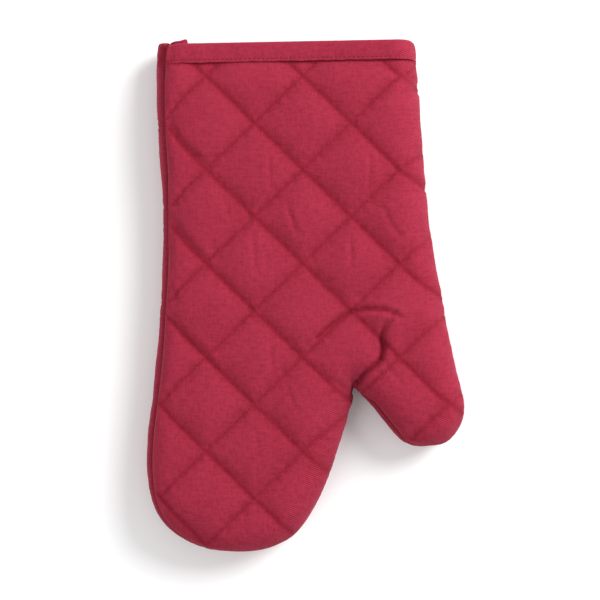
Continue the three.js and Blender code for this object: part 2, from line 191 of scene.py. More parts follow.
def place(flat, panel, depth, facts=None):
    """Where places on a panel are in the made-up mitt, in from its outer face by a depth, and the outward
    direction there."""
    distance, inward, lean = facts or edge_facts(flat)
    pinch = smoothstep(flat[:, 1], PINCH_START, PINCH_END)
    share = np.clip(distance / ROLL, 0, 1)
    angle = lean + (panel.up * math.pi / 2 - lean) * share
    rise = np.where(angle > 0, FRONT_RISE - FRONT_CUFF_DROP * pinch, BACK_DROP - BACK_CUFF_DROP * pinch)
    reach = np.where(share < 1, depth + (ROLL - depth) * (1 - np.cos(angle)), distance)
    xy = flat + inward * (reach - distance)[:, None]
    z = SEAM_HEIGHT + (rise - depth) * np.sin(angle)
    outward = np.column_stack([-inward * np.cos(angle)[:, None], np.sin(angle)])
    return np.column_stack([xy, z]), outward


def cuff_edge(x):
    corner = np.clip((x - CORNER_START) / 8, 0, 1)
    return CUFF_MIDDLE + CUFF_SLOPE * x - CORNER_DROP * corner**2


def raw_edge(panel, x):
    """Where the panel's own cut edge lies, inside the binding."""
    return cuff_edge(x) + panel.cuff_shift - BINDING_TURN


def quilt_phase(flat):
    """Position across the quilting, where both numbers are whole at a crossing of two lines."""
    u, v = ((flat - QUILT_CROSSING) / QUILT_HALF).T
    return (u + v) / 2, (u - v) / 2


def puffed(flat):
    """0 on the quilting lines and 1 at the middle of a diamond."""
    p, q = quilt_phase(flat)
    return (np.abs(np.sin(math.pi * p) * np.sin(math.pi * q)))**0.6


# Cut panels ---------------------------------------------------------------------------------------

FOLD_ALONG = np.array(THUMB_ROOT) - np.array(CROTCH)
FOLD_ALONG /= np.linalg.norm(FOLD_ALONG)
FOLD_ACROSS = np.array([FOLD_ALONG[1], -FOLD_ALONG[0]])


def on_thumb(flat):
    """Past the line along which the thumb bends."""
    away = flat - np.array(CROTCH)
    return (away @ FOLD_ACROSS > 0) & (away @ FOLD_ALONG > -0.5)


def cut_panel(panel, steps):
    """A panel cut to the outline: its flat places, its triangles, the sewn places, and the pairs of
    neighbouring places along each quilting line."""
    spacing = np.linalg.norm(QUILT_HALF) / steps
    side = evenly(OUTLINE, spacing * 0.9)
    side = side[side[:, 1] < raw_edge(panel, side[:, 0]) - 0.5]
    ends = np.array([[x, raw_edge(panel, x)] for x in side[[-1, 0], 0]])
    cuff = evenly(ends, spacing * 0.9)
    cuff[:, 1] = raw_edge(panel, cuff[:, 0])
    border = np.vstack([side, cuff])
    rings = seam_rings(side)
    rings = rings[(rings[:, 1] < raw_edge(panel, rings[:, 0]) - 1) & inside_polygon(rings, border)]
    count = 12 * steps
    i, j = [g.ravel() for g in np.meshgrid(np.arange(-count, count), np.arange(-count, count))]
    p, q = i / steps, j / steps
    grid = QUILT_CROSSING + QUILT_HALF * np.column_stack([p + q, p - q])
    near = (np.abs(grid[:, 0]) < 105) & (np.abs(grid[:, 1]) < 170)
    grid, i, j = grid[near], i[near], j[near]
    distance = edge_facts(grid)[0]
    on_line = (i % steps == 0) | (j % steps == 0)
    inside = distance > np.where(on_line, 0.55 * spacing, SEAM_RINGS[-1] + 0.45 * spacing)
    inside &= grid[:, 1] < raw_edge(panel, grid[:, 0]) - 0.5 * spacing
    inside &= inside_polygon(grid, border)
    grid, i, j = grid[inside], i[inside], j[inside]
    lines = grid[(i % steps == 0) | (j % steps == 0)]
    apart = np.sqrt(((rings[:, None] - lines[None])**2).sum(2).min(1))
    flat = np.vstack([border, grid, rings[apart > 0.45 * spacing]])
    loop = list(range(len(border)))
    _, _, faces, origin, _, _ = delaunay_2d_cdt([Vector(c) for c in flat], [], [loop], 1, 1e-4)
    order = [o[0] if o else -1 for o in origin]
    faces = [[order[k] for k in f] for f in faces]
    faces = [f for f in faces if min(f) >= 0]
    number = {(int(a), int(b)): len(border) + k for k, (a, b) in enumerate(zip(i, j))}
    sewn = loop + [k for (a, b), k in number.items() if a % steps == 0 or b % steps == 0]
    runs = []
    for (a, b), k in number.items():
        if a % steps == 0 and (a, b + 1) in number:
            runs.append((k, number[a, b + 1]))
        if b % steps == 0 and (a + 1, b) in number:
            runs.append((k, number[a + 1, b]))
    return flat, faces, sewn, runs


def seam_rings(side):
    """Places in from the seam at each ring's distance, away from tight corners."""
    rows = []
    for inset in SEAM_RINGS:
        nearest = ((side[:, None] - OUTLINE[None])**2).sum(2).argmin(1)
        row = side + INWARD[nearest] * inset
        row = row[edge_facts(row)[0] > 0.93 * inset]
        far = np.r_[True, np.linalg.norm(np.diff(row, axis=0), axis=1) > 1.2]
        rows.append(row[far])
    return np.vstack(rows)


def inside_polygon(points, polygon):
    x, y = points.T
    inside = np.zeros(len(points), bool)
    for (ax, ay), (bx, by) in zip(polygon, np.roll(polygon, -1, axis=0)):
        if ay == by:
            continue
        crosses = (ay > y) != (by > y)
        inside ^= crosses & (x < (bx - ax) * (y - ay) / (by - ay) + ax)
    return inside


def facing_out(panel, faces):
    """A panel's faces in the order that turns them to its outer side."""
    return faces if panel.up > 0 else [f[::-1] for f in faces]


def make_object(name, places, faces, flat=None):
    """A mesh object from places in millimetres. Its UV map is the cut cloth's own plane, in decimetres."""
    mesh = bpy.data.meshes.new(name)
    mesh.from_pydata((np.asarray(places) * MM).tolist(), [], [list(map(int, f)) for f in faces])
    obj = bpy.data.objects.new(name, mesh)
    bpy.context.scene.collection.objects.link(obj)
    if flat is not None:
        corners = np.empty(len(mesh.loops), int)
        mesh.loops.foreach_get("vertex_index", corners)
        layer = mesh.uv_layers.new(name="cloth")
        layer.data.foreach_set("uv", (flat[corners] / 100).ravel())
    mesh.shade_smooth()
    return obj


def coordinates(mesh):
    co = np.empty(len(mesh.vertices) * 3)
    mesh.vertices.foreach_get("co", co)
    return co.reshape(-1, 3)


def set_coordinates(mesh, co):
    mesh.vertices.foreach_set("co", np.asarray(co, float).ravel())
    mesh.update()


def pick_only(obj):
    bpy.ops.object.select_all(action="DESELECT")
    obj.select_set(True)
    bpy.context.view_layer.objects.active = obj


def apply_modifier(obj, kind, **settings):
    pick_only(obj)
    modifier = obj.modifiers.new(kind.title(), kind)
    for key, value in settings.items():
        setattr(modifier, key, value)
    bpy.ops.object.modifier_apply(modifier=modifier.name)


# Cloth --------------------------------------------------------------------------------------------

def inflate(places, faces, sewn):
    """The places after the cloth between the sewn lines has been puffed up by its batting."""
    cloth = make_object("cloth", places * SIM_SCALE, faces)
    cut = coordinates(cloth.data) * (1 + np.array(CLOTH_SLACK))
    cloth.shape_key_add(name="made")
    key = cloth.shape_key_add(name="cut")
    key.data.foreach_set("co", cut.ravel())
    key.value = 0
    group = cloth.vertex_groups.new(name="sewn")
    group.add([int(k) for k in sewn], 1.0, "REPLACE")
    modifier = cloth.modifiers.new("Cloth", "CLOTH")
    settings = modifier.settings
    settings.quality = 6
    settings.mass = 0.1
    settings.tension_stiffness = settings.compression_stiffness = 18
    settings.shear_stiffness = 8
    settings.bending_stiffness = 0.35
    settings.tension_damping = settings.compression_damping = settings.shear_damping = 12
    settings.air_damping = 1
    settings.vertex_group_mass = group.name
    settings.rest_shape_key = key
    settings.use_pressure = True
    settings.uniform_pressure_force = PUFF_PRESSURE
    settings.effector_weights.gravity = 0
    modifier.collision_settings.use_collision = False
    modifier.point_cache.frame_start = 1
    modifier.point_cache.frame_end = SIM_FRAMES
    for number in range(1, SIM_FRAMES + 1):
        bpy.context.scene.frame_set(number)
    shown = cloth.evaluated_get(bpy.context.evaluated_depsgraph_get())
    result = coordinates(shown.data) / (MM * SIM_SCALE)
    bpy.context.scene.frame_set(1)
    bpy.data.objects.remove(cloth)
    return result


def cap_move(before, after, outward, highest, lowest=-0.6, sideways=1.2):
    """The move from before to after, held within limits along the outward direction and across it."""
    move = after - before
    along = (move * outward).sum(1)
    across = move - along[:, None] * outward
    length = np.linalg.norm(across, axis=1)[:, None]
    across *= np.minimum(1, sideways / np.maximum(length, 1e-9))
    along = highest * np.tanh(along / highest)
    return before + across + np.clip(along, lowest, highest)[:, None] * outward


# Wrinkles that the thumb and handling leave: points along each, half width and depth.
CROTCH_CREASE = [((31, -60), (37.9, -49.5), (46.8, -41.8), (49.3, -33.5), (48.6, -26.5), (50.8, -20),
                  (55, -14)), 1.9, 4.6]
WEB_FOLD = [((8, -26), (18, -17.5), (27, -12), (38, -8.6), (52, -9.4), (63, -14.5)), 1.7, 2.2]
WRINKLES = [
    [((-23, 90), (-22.4, 78), (-22, 68)), 1.6, 0.8],
    [((40.8, 91), (41, 79), (40, 67)), 1.6, 0.8],
    [((-11.5, 59), (-8, 48), (-4.6, 39)), 1.7, 0.8],
    [((-33, 40), (-32.4, 28), (-32, 16)), 1.6, 0.6],
    [((28.6, 38), (29.2, 27), (29.6, 16)), 1.7, 0.8],
    [((49, 57), (54, 47), (60.5, 37)), 1.7, 0.8],
    [((-21.6, -29), (-21.4, -38), (-21.4, -48)), 1.6, 0.8],
    [((-30.8, -85), (-30.4, -94), (-30, -104)), 1.6, 0.5],
    [((-11, -58), (-8.6, -65), (-5, -72)), 1.6, 0.6],
    [((-51, 62), (-49.5, 55), (-47, 48)), 1.6, 0.5],
    [((-12, 123), (-3, 128), (8, 130.5)), 1.4, 0.8],
    [((73, 131), (63, 129), (54, 123)), 1.6, 1.0],
    [((-2, 6), (4, 10), (9, 14)), 1.4, 0.7],
    [((14, -40.5), (22, -38.5), (31, -39)), 1.6, 0.5],
    [((14, -52), (21, -56), (28, -63)), 1.9, 0.9],
    [((44, -34), (52, -44), (62, -56)), 1.7, 0.6],
    [((57, -78), (66, -82), (74, -82)), 1.7, 0.4],
    [((-88, 109), (-76, 95), (-61, 81)), 2.4, 0.9],
    [((-87, 50), (-74, 34), (-60, 19)), 2.4, 0.9],
    [((-83, -17), (-70, -32), (-57, -47)), 2.4, 0.8],
    [((59, 143), (66, 137), (74, 131)), 1.6, 0.9],
    [((60, 77), (69, 72.5), (77, 66)), 1.6, 0.8],
]


def nearest_on(line, flat):
    """For each place its distance from a line, and the number of the line's nearest point."""
    gap, nearest = np.full(len(flat), np.inf), np.zeros(len(flat), int)
    for k, point in enumerate(line):
        near = np.linalg.norm(flat - point, axis=1)
        nearest[near < gap] = k
        gap = np.minimum(gap, near)
    return gap, nearest


def pressed_in(flat):
    """How far each place is pressed in by the wrinkles. Fabric stands up in a lip on both sides of a
    wrinkle, but at the crotch only on the thumb's side, which lies over the palm's."""
    depth = np.zeros(len(flat))
    at_seam = smoothstep(edge_facts(flat)[0], 0, 4)
    for stroke in [CROTCH_CREASE, WEB_FOLD] + WRINKLES:
        points, width, deepest = stroke
        line = evenly(smooth_line(points), 1.0)
        along = np.gradient(line, axis=0)
        gap, nearest = nearest_on(line, flat)
        share = nearest / (len(line) - 1)
        fade = np.sqrt(np.clip(np.sin(math.pi * (0.06 + 0.9 * share)), 0, 1))
        lip = 0.18 * np.exp(-((gap - 2.2 * width) / (1.2 * width))**2)
        if stroke is CROTCH_CREASE:
            away = flat - line[nearest]
            turn = along[nearest, 0] * away[:, 1] - along[nearest, 1] * away[:, 0]
            wide = np.exp(-((gap - 3.0 * width) / (2.4 * width))**2)
            lip = np.where(turn < 0, 0.42, -0.25) * wide * smoothstep(gap, 0.5, 2.5)
            fade = np.sqrt(np.clip(np.sin(math.pi * (0.3 + 0.66 * share)), 0, 1))
        depth += deepest * fade * (np.exp(-(gap / width)**2) - lip)
    return depth * at_seam


def seam_relief(distance):
    """Depth of the groove at the side seam, and of the rolled edge that stands up beside it."""
    return 1.6 * np.exp(-(distance / 1.2)**2) - 1.1 * np.exp(-((distance - 3.4) / 1.5)**2)


def puckers(flat):
    """Unevenness of the quilting: wrinkles that run off its lines, stitch dimples and soft hollows."""
    side = np.linalg.norm(QUILT_HALF)
    depth = np.zeros(len(flat))
    for across, along in (quilt_phase(flat), quilt_phase(flat)[::-1]):
        line = np.round(across)
        off = (across - line) * side
        run = along * side + 1.9 * line + 2.2 * (off > 0)
        wave = np.sin(run * 0.83 + 2.4 * line) + np.sin(run * 0.47 + 5.1 * line)
        patch = 0.6 + 0.4 * np.sin(run * 0.19 + 1.7 * line)
        depth += 0.26 * wave * patch * smoothstep(np.abs(off), 0, 1.6) * np.exp(-(off / 5.5)**2)
        depth += 0.28 * np.cos(2 * math.pi * along * SHELL_STEPS) * np.exp(-(off / 0.9)**2)
    x, y = flat.T
    depth += 0.3 * np.sin(x / 9.1 + 1.3) * np.sin(y / 11.7 + 0.4)
    return depth + 0.35 * np.sin((x + y) / 14 + 2) * np.sin((x - y) / 8.3 + 0.7)


def shell_places(panel, flat, faces, sewn):
    """The outer cloth of one panel, puffed up between its sewn lines."""
    facts = edge_facts(flat)
    level = smoothstep(facts[0], 0.5, 11)
    under_cuff = smoothstep(flat[:, 1], *UNDER_CUFF)
    puff = puffed(flat) * (1 - under_cuff)
    start, outward = place(flat, panel, 0, facts)
    sunk = SHELL_DEPTH * level * (1 - 0.5 * puff) + seam_relief(facts[0])
    start = start - sunk[:, None] * outward
    result = start
    turned = facing_out(panel, faces)
    result = cap_move(start, inflate(start, turned, sewn), outward, PUFF_LIMIT)
    result = start + (result - start) * (1 - under_cuff)[:, None]
    return result


LINING_CREASE, BATTING_CREASE = 1.35, 1.3  # the inner layers are pressed further, clear of the shell


def crease(obj, panel, flat, share=1.0):
    """Presses the wrinkles of the front panel into one of its layers."""
    if panel is not FRONT:
        return
    places = coordinates(obj.data)
    _, outward = place(flat, panel, 0)
    depth = pressed_in(flat) * share
    set_coordinates(obj.data, places - (depth * MM)[:, None] * outward)


def build_shell(panel):
    flat, faces, sewn, runs = cut_panel(panel, SHELL_STEPS)
    places = shell_places(panel, flat, faces, sewn)
    turned = facing_out(panel, faces)
    shell = make_object(f"{panel.name}_shell", places, turned, flat)
    keep_flat(shell, flat)
    apply_modifier(shell, "SUBSURF", levels=1, render_levels=1)
    fine = flat_places(shell)
    crease(shell, panel, fine)
    _, outward = place(fine, panel, 0)
    level = smoothstep(edge_facts(fine)[0], 1, 5) * (1 - smoothstep(fine[:, 1], *UNDER_CUFF))
    result = coordinates(shell.data) / MM - (puckers(fine) * level)[:, None] * outward
    result[:, 2] = np.maximum(result[:, 2], TABLE_CLEARANCE)
    set_coordinates(shell.data, result * MM)
    # painted shade and highlight for the shell's colour
    paint_shade_and_highlight(shell, panel, fine)
    count = len(flat)
    stitches = stitch_runs(f"{panel.name}_stitches", result[:count], runs, outward[:count], flat)
    apply_modifier(shell, "SOLIDIFY", thickness=SHELL_THICK * MM, offset=-1)
    return shell, stitches


def flat_places(obj):
    places = np.empty(len(obj.data.vertices) * 2)
    obj.data.attributes["flat"].data.foreach_get("vector", places)
    return places.reshape(-1, 2)


def paint_shade_and_highlight(obj, panel, flat):
    """Marks the shell's stitched lines, seam edge, creases and the band under the binding with painted
    shade, and the rolled ridge beside the seam with a painted highlight, in a point attribute that the
    cloth material reads.
    """
    distance = edge_facts(flat)[0]
    side = np.linalg.norm(QUILT_HALF)
    painted_shade_highlight = np.zeros(len(flat))
    # painted shade along both sets of quilting lines, weaker along the second set
    for across, share in zip(quilt_phase(flat), (1.0, 0.6)):
        off = np.abs(across - np.round(across)) * side
        near = 0.75 * np.exp(-(off / 1.4)**2) + 0.25 * np.exp(-(off / 5.0)**2)
        painted_shade_highlight = np.maximum(painted_shade_highlight, near * share)
    painted_shade_highlight *= smoothstep(distance, 0, 4)
    # painted shade in the groove of the side seam
    painted_shade_highlight = np.maximum(painted_shade_highlight, np.exp(-(distance / 1.3)**2))
    # painted shade on the shell under the cuff binding and just below its lower edge
    painted_shade_highlight = np.maximum(painted_shade_highlight, smoothstep(flat[:, 1] - cuff_edge(flat[:, 0]), -14.6, -13.0))
    # painted highlight on the rolled ridge beside the seam
    painted_shade_highlight -= 0.8 * np.exp(-((distance - 3.3) / 1.0)**2)
    # painted shade in the crotch crease and the web fold of the front panel
    for points, width, _ in (CROTCH_CREASE, WEB_FOLD) if panel is FRONT else ():
        line = evenly(smooth_line(points), 1.0)
        gap, nearest = nearest_on(line, flat)
        ends = np.minimum(1, 3 * (1 - nearest / (len(line) - 1)))
        painted_shade_highlight = np.maximum(painted_shade_highlight, 1.1 * ends * np.exp(-(gap / (0.7 * width))**2))
    attribute = obj.data.attributes.new("painted_shade_highlight", "FLOAT", "POINT")
    attribute.data.foreach_set("value", painted_shade_highlight)


def keep_flat(obj, flat):
    """Stores each vertex's place on the cut cloth, so the piece can be parted after it is subdivided."""
    attribute = obj.data.attributes.new("flat", "FLOAT2", "POINT")
    attribute.data.foreach_set("vector", np.asarray(flat, float).ravel())


def stitch_shape():
    """One stitch along X, 1 long: a thin bead of thread whose ends go down into the cloth."""
    rings = [(-0.5, 0.0, -0.5), (-0.36, 0.75, -0.1), (-0.12, 1.0, 0.12), (0.12, 1.0, 0.12),
             (0.36, 0.75, -0.1), (0.5, 0.0, -0.5)]
    sides = 6
    places = [(rings[0][0], 0, rings[0][2])]
    for x, size, z in rings[1:-1]:
        for k in range(sides):
            turn = 2 * math.pi * k / sides
            places.append((x, size * math.cos(turn), z + size * math.sin(turn)))
    places.append((rings[-1][0], 0, rings[-1][2]))
    faces = [(0, 1 + (k + 1) % sides, 1 + k) for k in range(sides)]
    for ring in range(3):
        low, high = 1 + ring * sides, 1 + (ring + 1) * sides
        faces += [(low + k, low + (k + 1) % sides, high + (k + 1) % sides, high + k) for k in range(sides)]
    last = len(places) - 1
    faces += [(last, last - sides + k, last - sides + (k + 1) % sides) for k in range(sides)]
    return np.array(places), faces


STITCH_PLACES, STITCH_FACES = stitch_shape()
THREAD_RADIUS = 0.33
STITCH_END = 3.2  # the quilting stops this far from the seam


def stitches_between(name, starts, ends, outward, flat=None, radius=THREAD_RADIUS, fill=0.74, lift=0.1):
    """A run of stitches, each from one place to the next, lying on a surface that faces outward."""
    along = ends - starts
    length = np.linalg.norm(along, axis=1)[:, None]
    x = along / length
    y = np.cross(outward, x)
    y /= np.linalg.norm(y, axis=1)[:, None]
    z = np.cross(x, y)
    middle = (starts + ends) / 2 + lift * z
    places, faces, planes = [], [], []
    for k in range(len(starts)):
        shape = STITCH_PLACES * [fill * length[k, 0], radius, radius]
        faces += [tuple(len(places) * len(shape) + c for c in f) for f in STITCH_FACES]
        places.append(middle[k] + shape @ np.array([x[k], y[k], z[k]]))
        if flat is not None:
            planes.append(np.repeat(flat[k][None], len(shape), axis=0))
    obj = make_object(name, np.vstack(places), faces, np.vstack(places)[:, :2])
    if flat is not None:
        keep_flat(obj, np.vstack(planes))
    return obj


def stitch_runs(name, places, runs, outward, flat):
    a, b = np.array(runs).T
    clear = np.minimum(*(edge_facts(flat[k])[0] for k in (a, b))) > STITCH_END
    a, b = a[clear], b[clear]
    facing = outward[a] + outward[b]
    facing /= np.linalg.norm(facing, axis=1)[:, None]
    return stitches_between(name, places[a], places[b], facing, (flat[a] + flat[b]) / 2)


def lining_depth(flat, distance):
    """Depth of the lining's inner face, which is drawn towards the shell along the quilting lines."""
    squeeze = CUFF_SQUEEZE * smoothstep(flat[:, 1], PINCH_START, PINCH_END)
    return LINING_DEPTH - squeeze - 0.9 * (1 - puffed(flat)) * smoothstep(distance, 0, 5)


def build_lining(panel):
    """The lining, quilted to the same lines as the shell."""
    flat, faces, _, _ = cut_panel(panel, LINING_STEPS)
    facts = edge_facts(flat)
    places, _ = place(flat, panel, lining_depth(flat, facts[0]), facts)
    turned = [f[::-1] for f in facing_out(panel, faces)]
    lining = make_object(f"{panel.name}_lining", places, turned, flat)
    keep_flat(lining, flat)
    apply_modifier(lining, "SUBSURF", levels=1, render_levels=1)
    crease(lining, panel, flat_places(lining), LINING_CREASE)
    apply_modifier(lining, "SOLIDIFY", thickness=LINING_THICK * MM, offset=-1)
    return lining


def build_batting(panel):
    """The sheet of batting between shell and lining, pressed thin along the quilting lines."""
    flat, faces, _, _ = cut_panel(panel, LINING_STEPS)
    distance, inward, _ = edge_facts(flat)
    flat = flat + inward * (BATTING_INSET * np.clip(1 - distance / 6, 0, 1))[:, None]
    below = raw_edge(panel, flat[:, 0]) - flat[:, 1]
    flat[:, 1] -= BATTING_INSET * np.clip(1 - below / 6, 0, 1)
    facts = edge_facts(flat)
    lower_depth = lining_depth(flat, facts[0]) - LINING_THICK - 0.15
    upper_depth = np.minimum(SHELL_DEPTH + 1.5 - 0.8 * puffed(flat), lower_depth - 0.2)
    upper, _ = place(flat, panel, upper_depth, facts)
    lower, _ = place(flat, panel, lower_depth, facts)
    border = list(range(border_count(faces)))
    rim = [(a, b, b + len(flat), a + len(flat)) for a, b in zip(border, border[1:] + border[:1])]
    whole = faces + [[k + len(flat) for k in f[::-1]] for f in faces] + rim
    flat = np.vstack([flat, flat])
    batting = make_object(f"{panel.name}_batting", np.vstack([upper, lower]), whole, flat)
    keep_flat(batting, flat)
    recalculate(batting)
    apply_modifier(batting, "SUBSURF", levels=1, render_levels=1)
    crease(batting, panel, flat_places(batting), BATTING_CREASE)
    return batting


def border_count(faces):
    """The number of places on a cut panel's border, which come first and are joined in a ring."""
    uses = {}
    for f in faces:
        for a, b in zip(f, f[1:] + f[:1]):
            uses[frozenset((a, b))] = uses.get(frozenset((a, b)), 0) + 1
    return 1 + max(max(edge) for edge, count in uses.items() if count == 1)


def recalculate(obj):
    mesh = bmesh.new()
    mesh.from_mesh(obj.data)
    bmesh.ops.recalc_face_normals(mesh, faces=mesh.faces)
    mesh.to_mesh(obj.data)
    mesh.free()


def part_at_thumb(obj):
    """Parts a piece along the thumb's bending line into a hand piece and a thumb piece. Both keep the
    whole piece's normals, so no line shows where they meet."""
    thumb = obj.copy()
    thumb.data = obj.data.copy()
    bpy.context.scene.collection.objects.link(thumb)
    name = obj.name
    obj.name, thumb.name = f"{name}_hand", f"{name}_thumb"
    mesh = obj.data
    corners, begins = np.empty(len(mesh.loops), int), np.empty(len(mesh.polygons), int)
    mesh.loops.foreach_get("vertex_index", corners)
    mesh.polygons.foreach_get("loop_start", begins)
    middles = np.add.reduceat(flat_places(obj)[corners], begins)
    past = on_thumb(middles / np.diff(np.r_[begins, len(corners)])[:, None])
    normals = np.array([v.vector for v in mesh.vertex_normals])
    for piece, keep in ((obj, ~past), (thumb, past)):
        part = bmesh.new()
        part.from_mesh(piece.data)
        number = part.verts.layers.int.new("number")
        for k, v in enumerate(part.verts):
            v[number] = k
        part.faces.ensure_lookup_table()
        gone = [f for f, stays in zip(part.faces, keep) if not stays]
        bmesh.ops.delete(part, geom=gone, context="FACES")
        kept = [v[number] for v in part.verts]
        part.verts.layers.int.remove(number)
        part.to_mesh(piece.data)
        part.free()
        piece.data.normals_split_custom_set_from_vertices(normals[kept].tolist())
        piece.data.attributes.remove(piece.data.attributes["flat"])
    return obj, thumb


# Cuff, seams and loop -----------------------------------------------------------------------------

def strip(name, rows, closed_rows=True, closed_columns=False, flat=None):
    """A mesh through rows of places, each row's last place joined to its first if it is closed."""
    count, width = len(rows), len(rows[0])
    faces = []
    for i in range(count if closed_columns else count - 1):
        for j in range(width if closed_rows else width - 1):
            a, b = i * width + j, i * width + (j + 1) % width
            c, d = (i + 1) % count * width + (j + 1) % width, (i + 1) % count * width + j
            faces.append((a, b, c, d))
    if closed_rows and not closed_columns:
        for start in (0, (count - 1) * width):
            for j in range(width // 2 - 1):
                far = width - 1 - j
                faces.append((start + j, start + j + 1, start + far - 1, start + far))
    obj = make_object(name, np.vstack(rows), faces, flat)
    recalculate(obj)
    return obj


BINDING_LINE = [  # height below the cuff edge and depth of the tape: up outside, over, and down inside
    (12.75, 1.35), (12.3, 1.0), (11.5, 1.0), (10.8, 1.22), (10.1, 0.95), (8.0, 0.72), (5.0, 0.65),
    (2.5, 0.78), (1.1, 1.15), (0.5, 1.9), (0.45, 3.2), (0.6, 4.4), (1.3, 5.15), (3.5, 5.4), (7.0, 5.4),
    (10.1, 5.3), (10.8, 5.1), (11.5, 5.3), (12.3, 5.25)]
BINDING_THICK = 0.9


def tape_section(line, thick):
    """The closed outline of a tape with that centre line: along one face and back along the other."""
    line = np.array(line)
    along = np.gradient(line, axis=0)
    along /= np.linalg.norm(along, axis=1)[:, None]
    out = np.column_stack([along[:, 1], -along[:, 0]]) * thick / 2
    out[[0, -1]] *= 0.6
    return np.vstack([line + out, (line - out)[::-1]])


def binding_across(panel):
    """Places across the cuff from seam to seam."""
    edge = cuff_edge(0) + panel.cuff_shift
    left = np.interp(edge, OUTLINE[:40, 1][::-1], OUTLINE[:40, 0][::-1])
    right = np.interp(edge, OUTLINE[-40:, 1], OUTLINE[-40:, 0])
    return np.linspace(left + 0.02, right - 0.02, 130)


def build_binding(panel):
    section = tape_section(BINDING_LINE, BINDING_THICK)
    rows, planes = [], []
    for k, x in enumerate(binding_across(panel)):
        below, depth = section.T.copy()
        wave = 0.12 * math.sin(k * 1.7) + 0.1 * math.sin(k * 0.61 + 1)
        depth -= np.where((below > 3) & (below < 10) & (depth < 2), wave, 0)
        ripple = 0.12 * math.sin(k * 0.9) + 0.1 * math.sin(k * 0.37)
        below += np.where(below > 12, ripple, 0)
        flat = np.column_stack([np.full(len(below), x), cuff_edge(x) + panel.cuff_shift - below])
        facts = edge_facts(flat)
        depth += np.where(depth < 2, seam_relief(facts[0]), 0)
        rows.append(place(flat, panel, depth, facts)[0])
        planes.append(np.column_stack([flat[:, 0], flat[:, 1] + 2 * depth]))
    binding = strip(f"{panel.name}_binding", rows, flat=np.vstack(planes))
    apply_modifier(binding, "SUBSURF", levels=1, render_levels=1)
    return binding


def build_topstitching(panel):
    """The row of stitches that holds the binding, on its outer face and on its inner face."""
    across = evenly(np.column_stack([binding_across(panel), np.zeros(130)]), 2.9)[1:-1, 0]
    below = BINDING_HEIGHT - STITCH_ROW
    pairs = []
    for depth, side in ((0.72, 1), (5.6, -1)):
        flat = np.column_stack([across, cuff_edge(across) + panel.cuff_shift - below])
        places, outward = place(flat, panel, depth)
        pairs.append((places[:-1], places[1:], side * outward[:-1]))
    starts, ends, facing = (np.vstack(p) for p in zip(*pairs))
    return stitches_between(f"{panel.name}_topstitching", starts, ends, facing, radius=0.3)


def seam_line(depth):
    """The side seam at a depth inside the mitt, as places about 3 mm apart, and their cut places."""
    flat = evenly(OUTLINE, 2.8)
    flat = flat[flat[:, 1] < CUFF_MIDDLE - BINDING_HEIGHT - 2]
    return place(flat, FRONT, depth)[0], flat


def build_seam_stitches():
    """The stitches of the side seam, on the edges turned in behind it."""
    places, flat = seam_line(7.6)
    outward = np.tile([0.0, 0.0, 1.0], (len(places) - 1, 1))
    step = np.linalg.norm(np.diff(places, axis=0), axis=1)
    even = step < 6
    return stitches_between("seam_stitches", places[:-1][even], places[1:][even], outward[even],
                            flat[:-1][even], radius=0.4)


LOOP_LENGTH, LOOP_WIDTH, LOOP_HEIGHT, LOOP_THICK = 11.4, 11.9, 7.2, 1.0
LOOP_BEHIND, LOOP_ABOVE = 1.3, 0.5
LOOP_TILT = math.radians(12.9)
LOOP_JOINT = next(j for j in frame["joints"] if j["name"] == "loop_swing")
LOOP_PIVOT = np.array(LOOP_JOINT["pos_m"]) / MM


def loop_place(local):
    turn = np.array([[math.cos(LOOP_TILT), -math.sin(LOOP_TILT), 0],
                     [math.sin(LOOP_TILT), math.cos(LOOP_TILT), 0], [0, 0, 1]])
    return np.asarray(local) @ turn.T + LOOP_PIVOT


def build_loop():
    """The doubled tape of the hanging loop: a flat band bent round into a long eye."""
    half_x, half_z, corner = (LOOP_LENGTH - LOOP_THICK) / 2, (LOOP_HEIGHT - LOOP_THICK) / 2, 2.6
    centre = LOOP_LENGTH / 2 - LOOP_BEHIND
    path = []
    for sign_x, sign_z, begin in ((1, 1, 0), (-1, 1, 90), (-1, -1, 180), (1, -1, 270)):
        for k in range(7):
            turn = math.radians(begin + 15 * k)
            path.append((centre + sign_x * (half_x - corner) + corner * math.cos(turn),
                         sign_z * (half_z - corner) + corner * math.sin(turn)))
    path = np.array(path)
    path = evenly(np.vstack([path, path[:1]]), 0.9)[:-1]
    tangent = np.roll(path, -1, axis=0) - np.roll(path, 1, axis=0)
    tangent /= np.linalg.norm(tangent, axis=1)[:, None]
    out = np.column_stack([tangent[:, 1], -tangent[:, 0]])
    half_width, half_thick = LOOP_WIDTH / 2, LOOP_THICK / 2
    section = [(-half_width + 0.1, 0.5), (-half_width + 0.9, 1.05), (-half_width + 1.6, 0.86),
               (-half_width + 2.4, 1), (0, 1), (half_width - 2.4, 1), (half_width - 1.6, 0.86),
               (half_width - 0.9, 1.05), (half_width - 0.1, 0.5)]
    section = section + [(w, -t) for w, t in section[::-1]]
    rows, planes = [], []
    for k, (point, side) in enumerate(zip(path, out)):
        sway = 0.15 * math.sin(k * 0.8)
        local = [(point[0] + side[0] * t * half_thick, w + LOOP_ABOVE - half_width + sway,
                  point[1] + side[1] * t * half_thick) for w, t in section]
        rows.append(loop_place(local))
        planes.append([(w + 3 * t, k * 0.9) for w, t in section])
    loop = strip("loop_tape", rows, closed_columns=True, flat=np.vstack(planes))
    apply_modifier(loop, "SUBSURF", levels=1, render_levels=1)
    return loop


